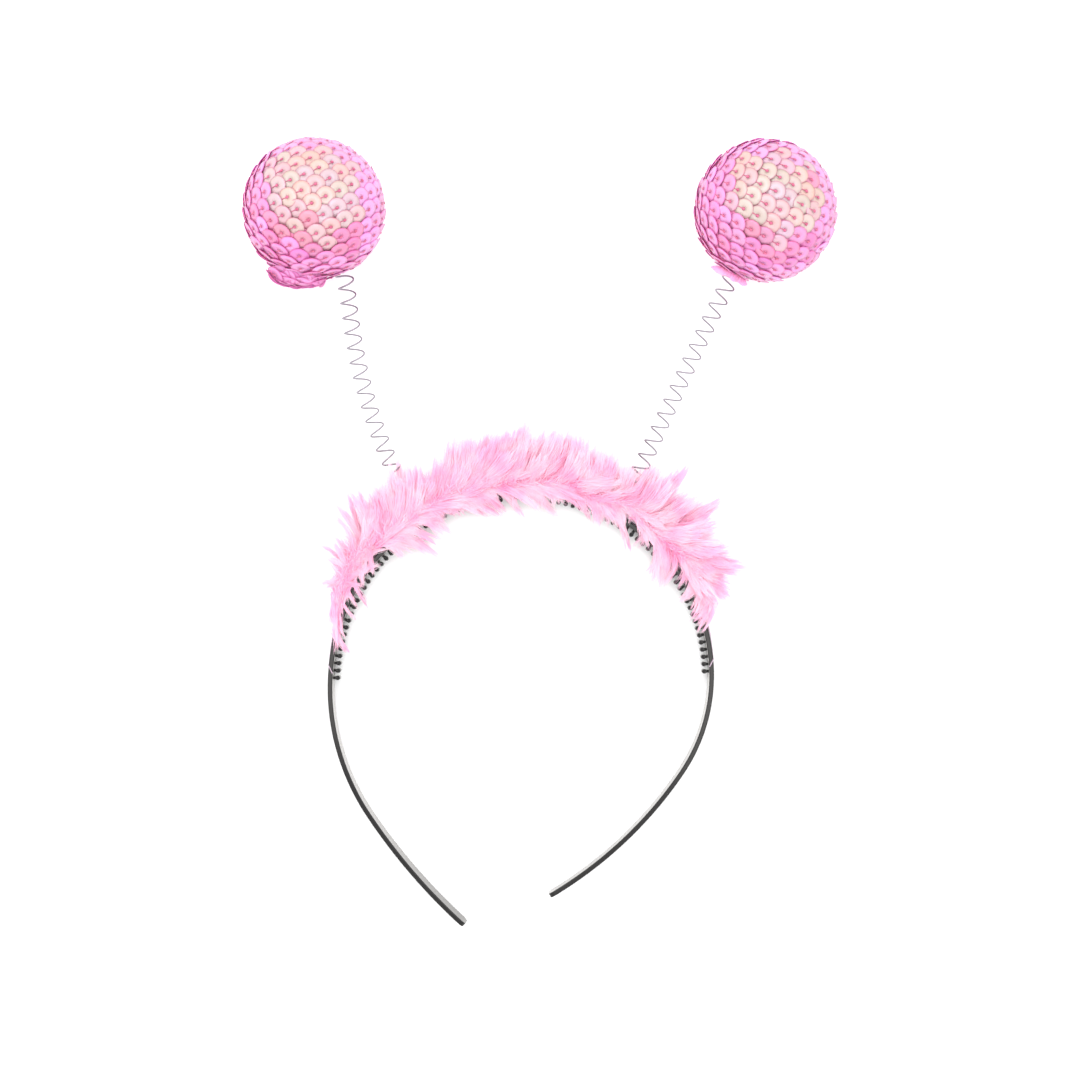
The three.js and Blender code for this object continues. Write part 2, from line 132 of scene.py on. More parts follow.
def unit(vectors):
    return vectors / np.linalg.norm(vectors, axis=-1, keepdims=True)


def arm_length(arm):
    return sum(radius * math.radians(turn) for radius, turn in arm)


def arm_at(station):
    """Place, direction to the right tip and outward normal, from the crown circle's middle."""
    side = -1 if station < 0 else 1
    arm = LEFT_ARM if side < 0 else RIGHT_ARM
    point = np.array([0.0, CROWN_RADIUS, 0.0])
    angle = CROWN_TILT
    left = abs(station)
    for i, (radius, turn) in enumerate(arm):
        length = left if i == len(arm) - 1 else min(left, radius * math.radians(turn))
        turned = math.degrees(length / radius)
        chord = 2 * radius * math.sin(math.radians(turned / 2))
        point = point + heading(angle - side * turned / 2) * side * chord
        angle -= side * turned
        left -= length
    return point, heading(angle), heading(angle + 90)


def crown_middle():
    """Where the crown circle's middle lies in the frame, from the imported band's box."""
    low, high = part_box("headband")
    stations = np.linspace(-arm_length(LEFT_ARM), 0, 400)
    outer = [arm_at(s)[0][0] + arm_at(s)[2][0] * BAND_THICKNESS / 2 for s in stations]
    return np.array([low.x - min(outer), high.y - CROWN_RADIUS - BAND_THICKNESS / 2, 0.0])


CROWN_MIDDLE = crown_middle()


def band_at(station):
    point, along, outward = arm_at(station)
    return point + CROWN_MIDDLE, along, outward


def smoothstep(value, low, high):
    share = np.clip((value - low) / (high - low), 0, 1)
    return share * share * (3 - 2 * share)


def cross_axes(axis):
    """Two directions square to an axis: one level, one rising."""
    across = unit(np.cross(axis, UP))
    return across, np.cross(across, axis)


# Meshes, all of quads

def make_object(name, verts, quads, uvs=None, colours=None, flat=False):
    """A mesh object from arrays; uvs and colours hold one row for each vertex, flat one for
    each quad that isn't shaded as part of a curved surface."""
    verts = np.asarray(verts, np.float32)
    quads = np.asarray(quads, np.int32)
    mesh = bpy.data.meshes.new(name)
    mesh.vertices.add(len(verts))
    mesh.vertices.foreach_set("co", verts.ravel())
    mesh.loops.add(quads.size)
    mesh.loops.foreach_set("vertex_index", quads.ravel())
    mesh.polygons.add(len(quads))
    mesh.polygons.foreach_set("loop_start", np.arange(0, quads.size, 4, dtype=np.int32))
    mesh.polygons.foreach_set("use_smooth", ~np.broadcast_to(flat, len(quads)))
    mesh.update(calc_edges=True)
    if uvs is not None:
        layer = mesh.uv_layers.new(name="UVMap")
        layer.data.foreach_set("uv", np.asarray(uvs, np.float32)[quads.ravel()].ravel())
    if colours is not None:
        tint = mesh.color_attributes.new("tint", "FLOAT_COLOR", "POINT")
        rgba = np.ones((len(verts), 4), np.float32)
        rgba[:, :3] = colours
        tint.data.foreach_set("color", rgba.ravel())
    thing = bpy.data.objects.new(name, mesh)
    bpy.context.scene.collection.objects.link(thing)
    return thing


def cap_quads(first, count):
    """Quads across a ring of an even number of points."""
    return np.array([(first + i, first + i + 1, first + count - 2 - i, first + count - 1 - i)
                     for i in range(count // 2 - 1)])


def ring_quads(rings, count, capped=True):
    """Quads through rings of count points each, closed at both ends if capped."""
    r, i = np.meshgrid(np.arange(rings - 1), np.arange(count), indexing="ij")
    a, b = (r * count + i).ravel(), (r * count + (i + 1) % count).ravel()
    quads = np.stack([a, b, b + count, a + count], 1)
    if capped:
        last = (rings - 1) * count
        quads = np.vstack([quads, cap_quads(0, count)[:, ::-1], cap_quads(last, count)])
    return quads


def loop_quads(rings, count):
    """Quads through rings of count points each, and from the last ring back to the first."""
    return ring_quads(rings + 1, count, capped=False) % (rings * count)


def copies(template, quads, places, bases):
    """The template at each place, turned by each basis, whose columns are its own axes."""
    verts = np.einsum("nij,tj->nti", bases, template) + places[:, None, :]
    shifts = (np.arange(len(places)) * len(template))[:, None, None]
    return verts.reshape(-1, 3), (quads[None] + shifts).reshape(-1, 4)


def finish_piece(thing, material, body, slot, *nodes):
    thing.data.materials.append(material)
    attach(thing, body)
    if nodes:
        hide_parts(*nodes)


# Materials

def screen(red, green, blue):
    """A colour as a screen shows it, out of 255, in the shader's own numbers."""
    shares = np.array([red, green, blue]) / 255
    return tuple(np.where(shares > 0.04045, ((shares + 0.055) / 1.055) ** 2.4, shares / 12.92))


class Nodes:
    """A node tree with short calls for the nodes that the materials share."""

    def __init__(self, name):
        self.material = bpy.data.materials.new(name)
        self.material.use_nodes = True
        self.tree = self.material.node_tree
        self.shader = self.tree.nodes["Principled BSDF"]
        self.output = self.tree.nodes["Material Output"]

    def add(self, kind, **settings):
        node = self.tree.nodes.new(kind)
        for key, value in settings.items():
            setattr(node, key, value)
        return node

    def link(self, source, target):
        self.tree.links.new(source, target)

    def set(self, **values):
        for key, value in values.items():
            self.shader.inputs[key.replace("_", " ")].default_value = value

    def place(self):
        return self.add("ShaderNodeTexCoord").outputs["Object"]

    def uv(self):
        return self.add("ShaderNodeUVMap", uv_map="UVMap").outputs["UV"]

    def noise(self, scale, detail=3):
        node = self.add("ShaderNodeTexNoise")
        node.inputs["Scale"].default_value = scale
        node.inputs["Detail"].default_value = detail
        self.link(self.place(), node.inputs["Vector"])
        return node.outputs["Fac"]

    def ramp(self, factor, *stops):
        node = self.add("ShaderNodeValToRGB")
        elements = node.color_ramp.elements
        while len(elements) < len(stops):
            elements.new(1.0)
        for element, (place, colour) in zip(elements, stops):
            element.position = place
            element.color = (*colour, 1.0)
        self.link(factor, node.inputs["Fac"])
        return node.outputs["Color"]

    def multiply(self, first, second):
        node = self.add("ShaderNodeMix", data_type="RGBA", blend_type="MULTIPLY")
        node.inputs["Factor"].default_value = 1.0
        self.link(first, node.inputs[6])
        self.link(second, node.inputs[7])
        return node.outputs[2]

    def map_range(self, factor, low, high):
        node = self.add("ShaderNodeMapRange")
        node.inputs["To Min"].default_value = low
        node.inputs["To Max"].default_value = high
        self.link(factor, node.inputs["Value"])
        return node.outputs["Result"]

    def colour(self, source):
        self.link(source, self.shader.inputs["Base Color"])

    def roughness(self, source):
        self.link(source, self.shader.inputs["Roughness"])

    def let_light_through(self, colour, share):
        through = self.add("ShaderNodeBsdfTranslucent")
        self.link(colour, through.inputs["Color"])
        mix = self.add("ShaderNodeMixShader")
        mix.inputs["Fac"].default_value = share
        self.link(self.shader.outputs["BSDF"], mix.inputs[1])
        self.link(through.outputs["BSDF"], mix.inputs[2])
        self.link(mix.outputs["Shader"], self.output.inputs["Surface"])

    def bump(self, height, strength, distance):
        node = self.add("ShaderNodeBump")
        node.inputs["Strength"].default_value = strength
        node.inputs["Distance"].default_value = distance
        self.link(height, node.inputs["Height"])
        self.link(node.outputs["Normal"], self.shader.inputs["Normal"])


def plastic_material():
    n = Nodes("charcoal_plastic")
    n.set(IOR=1.5, Specular_IOR_Level=0.32, Specular_Tint=(1.0, 0.97, 0.93, 1.0), Sheen_Weight=0.55,
          Sheen_Roughness=0.3, Sheen_Tint=(1.0, 0.96, 0.92, 1.0))
    n.colour(n.ramp(n.noise(60), (0.3, screen(12, 12, 14)), (0.75, screen(20, 20, 23))))
    n.roughness(n.map_range(n.noise(900, 4), 0.07, 0.15))
    return n.material


def film_material():
    n = Nodes("trim_film")
    n.set(Roughness=0.35, IOR=1.45, Alpha=0.6)
    n.colour(n.ramp(n.noise(300), (0.3, screen(200, 178, 196)), (0.7, screen(226, 202, 220))))
    return n.material


def wire_material():
    n = Nodes("spring_wire")
    n.set(Metallic=1.0, Base_Color=(*screen(150, 145, 153), 1.0))
    n.roughness(n.map_range(n.noise(500), 0.34, 0.5))
    return n.material


def cloth_material(name, dark, light):
    n = Nodes(name)
    n.set(Roughness=0.9, Sheen_Weight=0.4, Sheen_Roughness=0.4, Sheen_Tint=(1.0, 0.7, 0.85, 1.0))
    weave = n.add("ShaderNodeTexWave", wave_type="BANDS", bands_direction="DIAGONAL")
    weave.inputs["Scale"].default_value = 1100
    weave.inputs["Distortion"].default_value = 1.5
    n.link(n.place(), weave.inputs["Vector"])
    n.colour(n.ramp(n.noise(240, 4), (0.3, dark), (0.75, light)))
    n.bump(weave.outputs["Fac"], 0.4, 0.0001)
    return n.material


def thread_material():
    n = Nodes("stitch_thread")
    n.set(Roughness=0.7, Sheen_Weight=0.3, Sheen_Roughness=0.4)
    n.colour(n.ramp(n.noise(900), (0.3, screen(184, 80, 114)), (0.75, screen(208, 108, 140))))
    return n.material


def sequin_material():
    """Pearly film: each sequin's tint, which carries painted highlight, sheen and shade, deeper at its
    rim and hole, with a soft shine.
    """
    n = Nodes("pearly_sequin")
    n.set(IOR=1.55, Metallic=0.1, Coat_Weight=0.2, Coat_Roughness=0.2, Sheen_Weight=0.35,
          Sheen_Roughness=0.3, Sheen_Tint=(0.98, 0.74, 1.0, 1.0), Thin_Film_Thickness=320.0,
          Thin_Film_IOR=1.35)
    # The tint attribute holds each sequin's colour with painted highlight, sheen and shade from
    # sequin_tints
    tint = n.add("ShaderNodeAttribute", attribute_name="tint").outputs["Color"]
    middle = n.add("ShaderNodeVectorMath", operation="DISTANCE")
    middle.inputs[1].default_value = (0.5, 0.5, 0.0)
    n.link(n.uv(), middle.inputs[0])
    radius = middle.outputs["Value"]
    edge = n.ramp(radius, (0.07, (0.95, 0.5, 0.7)), (0.11, (1, 1, 1)), (0.44, (1, 1, 1)),
                  (0.48, (1.0, 0.6, 0.76)))
    colour = n.multiply(tint, edge)
    n.colour(colour)
    glow = n.ramp(radius, (0.0, (1.0, 0.6, 0.8)), (0.5, (1.0, 0.72, 0.88)))
    n.let_light_through(n.multiply(tint, glow), 0.32)
    waves = n.add("ShaderNodeMath", operation="MULTIPLY")
    waves.inputs[1].default_value = 84.0
    n.link(radius, waves.inputs[0])
    rings = n.add("ShaderNodeMath", operation="SINE")
    n.link(waves.outputs[0], rings.inputs[0])
    n.roughness(n.map_range(n.noise(160), 0.2, 0.4))
    n.bump(rings.outputs[0], 0.2, 0.00005)
    return n.material


def feather_material():
    """Soft down: deeper pink at the core, paler towards the tips, with light coming through."""
    n = Nodes("marabou_down")
    n.set(Roughness=0.65, Sheen_Weight=0.3, Sheen_Roughness=0.4, Sheen_Tint=(1.0, 0.88, 0.97, 1.0))
    parts = n.add("ShaderNodeSeparateXYZ")
    n.link(n.uv(), parts.inputs["Vector"])
    along = n.ramp(parts.outputs["Y"], (0.0, screen(252, 146, 196)), (0.14, screen(253, 190, 220)),
                   (0.4, screen(254, 213, 229)), (1.0, screen(255, 225, 236)))
    strand = n.ramp(parts.outputs["X"], (0.0, (0.98, 0.9, 0.95)), (0.5, (1, 1, 1)),
                    (1.0, (1.0, 0.96, 1.0)))
    patch = n.ramp(n.noise(130, 2), (0.36, (1.0, 0.8, 0.93)), (0.58, (1, 1, 1)))
    colour = n.multiply(n.multiply(along, strand), patch)
    n.colour(colour)
    n.let_light_through(colour, 0.4)
    return n.material


# The headband

CORNER_STEPS = 4


def rounded_section(half_out, half_up, radius):
    """Corner points (out, up) of a rectangle with round corners, anticlockwise."""
    points = []
    for corner, start in enumerate((0, 90, 180, 270)):
        mid_out = (half_out - radius) * (1 if corner in (0, 3) else -1)
        mid_up = (half_up - radius) * (1 if corner in (0, 1) else -1)
        for i in range(CORNER_STEPS):
            angle = math.radians(start + 90 * i / (CORNER_STEPS - 1))
            points.append((mid_out + radius * math.cos(angle), mid_up + radius * math.sin(angle)))
    return points


def band_ring(station):
    point, _, outward = band_at(station)
    length = arm_length(LEFT_ARM if station < 0 else RIGHT_ARM)
    full = BAND_WIDTH + (TIP_WIDTH - BAND_WIDTH) * smoothstep(abs(station), TAPER_START, length)
    from_tip = min(length - abs(station), TIP_ROUND)
    rounding = TIP_ROUND - math.sqrt(max(0.0, TIP_ROUND ** 2 - (TIP_ROUND - from_tip) ** 2))
    lean = math.radians(LEFT_TIP_LEAN * smoothstep(-station, length - TIP_LEAN_LENGTH, length))
    middle = full / 2 * math.cos(lean) + BAND_THICKNESS / 2 * math.sin(lean)
    ring = []
    for out, rise in rounded_section(BAND_THICKNESS / 2, full / 2 - rounding * 0.9, BAND_ROUND):
        turned_out = out * math.cos(lean) + rise * math.sin(lean)
        turned_up = rise * math.cos(lean) - out * math.sin(lean)
        ring.append(point + outward * turned_out + UP * (middle + turned_up))
    return ring


def tooth_rings(station):
    """A knobbed bar on the inner face, with a rounded top and foot."""
    point, along, outward = band_at(station)
    knob_middle = TOOTH_LENGTH - TOOTH_KNOB
    outline = [(-TOOTH_NECK, TOOTH_SINK), (-TOOTH_NECK * 0.9, -TOOTH_SHANK)]
    for i in range(6):
        angle = math.radians(200 - i * 220 / 5)
        outline.append((TOOTH_KNOB * math.cos(angle), -knob_middle - TOOTH_KNOB * math.sin(angle)))
    outline += [(TOOTH_NECK * 0.9, -TOOTH_SHANK), (TOOTH_NECK, TOOTH_SINK)]
    rings = []
    for share, size in TOOTH_ENDS:
        rings.append([
            point + along * side * size + UP * (BAND_WIDTH / 2 + share * TOOTH_HEIGHT / 2)
            + outward * (out * (size if out < 0 else 1) - BAND_THICKNESS / 2)
            for side, out in outline])
    return rings


def make_headband(material):
    left, right = arm_length(LEFT_ARM), arm_length(RIGHT_ARM)
    rounds = np.array([0.0, 0.04, 0.15, 0.35, 0.65, 1.0]) * TIP_ROUND
    stations = np.concatenate([
        -left + rounds, np.linspace(-left + TIP_ROUND, right - TIP_ROUND, 240)[1:-1],
        (right - rounds)[::-1]])
    rings = np.array([band_ring(s) for s in stations])
    verts, quads = [rings.reshape(-1, 3)], [ring_quads(*rings.shape[:2])]
    shift = len(verts[0])
    flat = [np.arange(len(quads[0])) % CORNER_STEPS == CORNER_STEPS - 1]
    teeth = round(TEETH_SPAN / TOOTH_PITCH)
    for i in range(teeth + 1):
        rings = np.array(tooth_rings((i - teeth / 2) * TOOTH_PITCH))
        verts.append(rings.reshape(-1, 3))
        quads.append(ring_quads(*rings.shape[:2]) + shift)
        flat.append(np.zeros(len(quads[-1]), bool))
        shift += len(verts[-1])
    band = make_object("band_with_teeth", np.vstack(verts), np.vstack(quads),
                       flat=np.concatenate(flat))
    finish_piece(band, material, "headband", "band_plastic", "headband")


# The springs

def bopper_frame(bopper):
    point, _, outward = band_at(bopper["station"])
    foot = point + outward * (BAND_THICKNESS / 2 + GAP + WIRE_RADIUS)
    foot[2] = BAND_WIDTH / 2
    centre = foot + heading(90 - bopper["bearing"]) * bopper["reach"]
    centre[2] = BALL_RADIUS
    drop = math.radians(NECK_DROP)
    axis = heading(90 - bopper["tilt"]) * math.cos(drop) + UP * math.sin(drop)
    mouth = centre - axis * BALL_RADIUS
    inner = mouth + axis * (SOCKET_DEPTH - GAP - WIRE_RADIUS)
    return dict(bopper, foot=foot, outward=outward, centre=centre, axis=axis, mouth=mouth,
                inner=inner)


def spring_line(place):
    """Closely spaced points of the spring's centre line, from the band into the ball."""
    span = np.linalg.norm(place["mouth"] - place["foot"])
    handles = [
        place["foot"], place["foot"] + place["outward"] * place["foot_bend"] * span,
        place["mouth"] - place["axis"] * place["neck_bend"] * span, place["mouth"]]
    t = np.linspace(0, 1, 200)[:, None]
    bent = (handles[0] * (1 - t) ** 3 + 3 * handles[1] * t * (1 - t) ** 2
            + 3 * handles[2] * t ** 2 * (1 - t) + handles[3] * t ** 3)
    straight = place["mouth"] + (place["inner"] - place["mouth"]) * np.linspace(0, 1, 20)[1:, None]
    return np.vstack([bent, straight])


def make_spring(side, place, material):
    line = spring_line(place)
    travelled = np.concatenate([[0], np.cumsum(np.linalg.norm(np.diff(line, axis=0), axis=1))])
    turns = travelled[-1] / COIL_PITCH
    count = int(turns * TURN_STEPS)
    shares = np.linspace(0, 1, count + 1)
    centre = np.stack([np.interp(shares * travelled[-1], travelled, line[:, k]) for k in range(3)], 1)
    ahead = unit(np.gradient(centre, axis=0))
    across = unit(np.cross(ahead, UP))
    drop = np.cross(ahead, across)
    turn = math.radians(COIL_START) + 2 * math.pi * turns * shares[:, None]
    wire = centre + COIL_RADIUS * (across * np.cos(turn) + drop * np.sin(turn))
    out = unit(wire - centre)
    other = np.cross(unit(np.gradient(wire, axis=0)), out)
    around = np.arange(WIRE_SIDES) * 2 * math.pi / WIRE_SIDES
    verts = wire[:, None] + WIRE_RADIUS * (
        out[:, None] * np.cos(around)[None, :, None] + other[:, None] * np.sin(around)[None, :, None])
    spring = make_object(f"coil_{side}", verts.reshape(-1, 3), ring_quads(count + 1, WIRE_SIDES))
    spring.data.materials.append(material)
    tuple(place["foot"])
    tuple(place["mouth"])
    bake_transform(spring)
    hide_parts(f"spring_{side}")


# The sequined balls

# The cloth-covered foam, and the sequins on it, in rows round the ball's own axis. Each disc's
# far and right edges are tilted off the cloth, so that it overlaps the next.
CORE_RADIUS = 21.0 * MM
SEQUIN_SEAT = 21.5 * MM
SEQUIN_RADIUS = 3.1 * MM
SEQUIN_THICKNESS = 0.1 * MM
SEQUIN_CUP = 0.2 * MM
SEQUIN_SIDES = 18
SEQUIN_RINGS = (0.14, 0.6, 1.0)
ROW_COUNT = 14
ROW_SPACING = 4.75 * MM
ROW_START = 10.5
ROW_TILT = 7
SIDE_TILT = 4.5
FLOOR_CLEAR = 0.05 * MM
# Tints by where a sequin lies on its ball, as painted light: pearl where it faces up is a painted
# highlight, lilac towards +x and +y painted sheen, deep pink on the -y side painted shade and a few
# anywhere at random; TINT_EVEN draws each towards its neighbours' mean
PEARL_HIGHLIGHT = [screen(*c) for c in (
    (228, 210, 192), (216, 214, 196), (234, 200, 184), (228, 194, 200), (220, 200, 214))]
LILAC_SHEEN = [screen(*c) for c in ((246, 190, 250), (242, 182, 244), (238, 175, 238), (244, 184, 230))]
PINK = [screen(*c) for c in ((244, 166, 218), (238, 156, 210), (244, 173, 222))]
DEEP_SHADE = [screen(*c) for c in ((228, 112, 182), (236, 126, 170), (238, 138, 178), (222, 112, 192))]
TINT_EVEN = 0.5


def sequin_template():
    """One cupped disc with a hole, as points, quads and its own flat coordinates."""
    angles = np.arange(SEQUIN_SIDES) * 2 * math.pi / SEQUIN_SIDES
    circle = np.stack([np.cos(angles), np.sin(angles)], 1)
    loop = [(share, 1) for share in SEQUIN_RINGS] + [(SEQUIN_RINGS[-1], -1), (SEQUIN_RINGS[0], -1)]
    verts, uvs = [], []
    for share, level in loop:
        height = -SEQUIN_CUP * share ** 2 + level * SEQUIN_THICKNESS / 2
        verts.append(np.column_stack([circle * share * SEQUIN_RADIUS, np.full(SEQUIN_SIDES, height)]))
        uvs.append(0.5 + circle * share / 2)
    return np.vstack(verts), loop_quads(len(loop), SEQUIN_SIDES)[:, ::-1], np.vstack(uvs)


def knot_template():
    """A thread knot in the hole with its tail along the disc, as points and quads."""
    verts = []
    for rise, size in ((-0.14, 0.3), (0.04, 1.0), (0.22, 0.9), (0.35, 0.35)):
        for i in range(8):
            angle = 2 * math.pi * i / 8
            verts.append((0.5 * size * math.cos(angle), 0.42 * size * math.sin(angle), rise))
    tail = len(verts)
    for along, rise in ((-2.1, -0.1), (-1.6, 0.08), (-0.9, 0.16), (-0.2, 0.18)):
        for i in range(4):
            angle = 2 * math.pi * i / 4
            verts.append((along, 0.15 * math.cos(angle), rise + 0.12 * math.sin(angle)))
    return np.array(verts) * MM, np.vstack([ring_quads(4, 8), ring_quads(4, 4) + tail])


def disc_basis(rng, right, far, out, tilt, lean):
    """A disc's own axes: its right and far edges lifted off the cloth by small angles."""
    tilt = math.radians(tilt + rng.normal(0, 3))
    lean = math.radians(lean + rng.normal(0, 3))
    spin = rng.normal(0, 0.05)
    x = unit(right * math.cos(spin) + far * math.sin(spin) + out * math.tan(lean))
    y = far + out * math.tan(tilt)
    y = unit(y - x * np.dot(x, y))
    return np.stack([x, y, np.cross(x, y)], 1)


def ball_places(place, rng):
    """Seats and axes of the sequins: rows round the ball's axis, from neck to far pole."""
    axis = place["axis"]
    across, lift = cross_axes(axis)
    seats, bases = [], []
    first = math.radians(ROW_START)
    for row in range(ROW_COUNT + 1):
        theta = first + (math.pi - first) * row / ROW_COUNT
        count = max(1, round(2 * math.pi * SEQUIN_SEAT * math.sin(theta) / ROW_SPACING))
        offset = rng.uniform(0, 2 * math.pi)
        flat = 0.3 if row == ROW_COUNT else 1
        for i in range(count):
            phi = offset + 2 * math.pi * i / count
            ring = across * math.cos(phi) + lift * math.sin(phi)
            out = -axis * math.cos(theta) + ring * math.sin(theta)
            far = unit(axis * math.sin(theta) + ring * math.cos(theta))
            right = np.cross(far, out)
            seats.append(out * (SEQUIN_SEAT + rng.uniform(0, 0.1) * MM)
                         + right * rng.normal(0, 0.15) * MM + far * rng.normal(0, 0.13) * MM)
            bases.append(disc_basis(rng, right, far, out, ROW_TILT * flat, SIDE_TILT * flat))
    return np.array(seats), np.array(bases)


# The loose seam of the left cover: a bulge low on the ball's limb, sequined like the rest
SEAM_AROUND = 40
SEAM_TURN = 10
SEAM_HALVES = np.array([3.2, 8.2, 5.0]) * MM
SEAM_SINK = 1.2 * MM
SEAM_LIFTS = (-50, -22, 6, 34, 60)
SEAM_SWINGS = (-58, -34, -10, 14, 38, 62, 86)
SEAM_SEAT = 0.3 * MM
SEAM_TILT = 6
SEAM_OUT = BALL_RADIUS - SEAM_SINK


def seam_frame(place):
    """The bulge's middle, from the ball's, and its axes: outward, along and up."""
    away = -place["axis"]
    bearing = math.degrees(math.atan2(away[1], away[0])) - SEAM_AROUND
    outward = heading(bearing + SEAM_TURN)
    return heading(bearing) * SEAM_OUT, np.stack([outward, np.cross(UP, outward), UP], 1)


def on_globe(lift, swing):
    lift, swing = math.radians(lift), math.radians(swing)
    return np.array([math.cos(lift) * math.cos(swing), math.cos(lift) * math.sin(swing),
                     math.sin(lift)])


def seam_places(middle, axes, rng):
    seats, bases = [], []
    for lift in SEAM_LIFTS:
        for swing in SEAM_SWINGS:
            globe = on_globe(lift + rng.normal(0, 3), swing + rng.normal(0, 3))
            out = unit(axes @ (globe / SEAM_HALVES))
            right = unit(axes[:, 1] - out * np.dot(axes[:, 1], out))
            seats.append(middle + axes @ (globe * SEAM_HALVES) + out * SEAM_SEAT)
            bases.append(disc_basis(rng, right, np.cross(out, right), out, SEAM_TILT, SEAM_TILT))
    return np.array(seats), np.array(bases)


def make_seam(place, middle, axes, material):
    rings, count = 13, 24
    globes = np.array([on_globe(-88 + 176 * r / (rings - 1), 360 * i / count)
                       for r in range(rings) for i in range(count)])
    verts = place["centre"] + middle + (globes * SEAM_HALVES) @ axes.T
    seam = make_object("loose_seam_left", verts, ring_quads(rings, count))
    finish_piece(seam, material, "ball_left", "sequined_cover", "ball_left")


def sequin_tints(rng, out):
    """Pearl on top as a painted highlight, lilac round the limb as painted sheen, deeper pink here and
    there at random and as painted shade on the -y side of the upper half.
    """
    # up: how squarely a sequin faces the overhead lights; the pearl drawn where it is high is a
    # painted highlight
    up = out[:, 2] + 0.08 * out[:, 0] + 0.1 * out[:, 1] + rng.normal(0, 0.06, len(out))
    # Painted shade: deep pink on the -y side of the ball's upper half
    painted_shade_side = smoothstep(-out[:, 1], 0.1, 0.55) * smoothstep(out[:, 2], 0.1, 0.5)
    draw = rng.random((len(out), 2))
    tints = np.empty((len(out), 3))
    for i in range(len(out)):
        # Deep pink: a few at random, more as painted shade on the -y side
        if draw[i, 0] < 0.015 + 0.5 * painted_shade_side[i]:
            family = DEEP_SHADE
        elif up[i] > 0.74:
            family = PEARL_HIGHLIGHT
        else:
            # Lilac more often towards +y and +x: painted sheen on that part of the limb
            family = LILAC_SHEEN if draw[i, 1] < 0.5 + 0.4 * out[i, 1] + 0.3 * out[i, 0] else PINK
        tints[i] = family[rng.integers(len(family))]
    # top: more painted highlight, drawn towards the pearl mean, where a sequin faces up
    top = smoothstep(up, 0.55, 0.95)[:, None]
    even = np.mean(LILAC_SHEEN + PINK, axis=0) * (1 - top) + np.mean(PEARL_HIGHLIGHT, axis=0) * top
    return (tints + (even - tints) * TINT_EVEN) * rng.uniform(0.96, 1.03, (len(out), 1))


def make_core(side, place, material):
    """The cloth-covered foam ball under the sequins, open where the spring goes in."""
    rings, count = 40, 64
    axis = place["axis"]
    across, lift = cross_axes(axis)
    hole = COIL_RADIUS + WIRE_RADIUS + GAP
    start = math.asin(hole / CORE_RADIUS)
    thetas = start + (math.pi - start) * np.arange(rings) / (rings - 1)
    depth = SOCKET_DEPTH - BALL_RADIUS
    profile = [(0.01 * MM, depth), (hole, depth)] + [
        (max(CORE_RADIUS * math.sin(t), 0.01 * MM), -CORE_RADIUS * math.cos(t)) for t in thetas]
    phi = np.arange(count) * 2 * math.pi / count
    spokes = across[None] * np.cos(phi)[:, None] + lift[None] * np.sin(phi)[:, None]
    verts = [place["centre"] + axis * along + spokes * radius for radius, along in profile]
    core = make_object(f"covered_ball_{side}", np.vstack(verts),
                       ring_quads(len(profile), count)[:, ::-1])
    finish_piece(core, material, f"ball_{side}", "sequined_cover", f"ball_{side}")


def make_ball(side, place, materials, seed):
    rng = np.random.default_rng(seed)
    make_core(side, place, materials["cloth"])
    seats, bases = ball_places(place, rng)
    if side == "left":
        middle, axes = seam_frame(place)
        make_seam(place, middle, axes, materials["cloth"])
        inside = np.linalg.norm((seats - middle) @ axes / SEAM_HALVES, axis=1) < 0.95
        more_seats, more_bases = seam_places(middle, axes, rng)
        seats = np.vstack([seats[~inside], more_seats])
        bases = np.concatenate([bases[~inside], more_bases])
    # Tints with painted highlight, sheen and shade by where each sequin faces on the ball
    tints = sequin_tints(rng, unit(seats))
    seats = seats + place["centre"]
    template, quads, uvs = sequin_template()
    verts, all_quads = copies(template, quads, seats, bases)
    verts[:, 2] = np.maximum(verts[:, 2], FLOOR_CLEAR)
    shell = make_object(f"sequins_{side}", verts, all_quads, uvs=np.tile(uvs, (len(seats), 1)),
                        colours=np.repeat(tints, len(template), axis=0))
    finish_piece(shell, materials["sequin"], f"ball_{side}", "sequined_cover", f"ball_{side}")
    verts, all_quads = copies(*knot_template(), seats, bases)
    verts[:, 2] = np.maximum(verts[:, 2], FLOOR_CLEAR)
    knots = make_object(f"stitches_{side}", verts, all_quads)
    finish_piece(knots, materials["thread"], f"ball_{side}", "cover_cloth")


# The feather trim

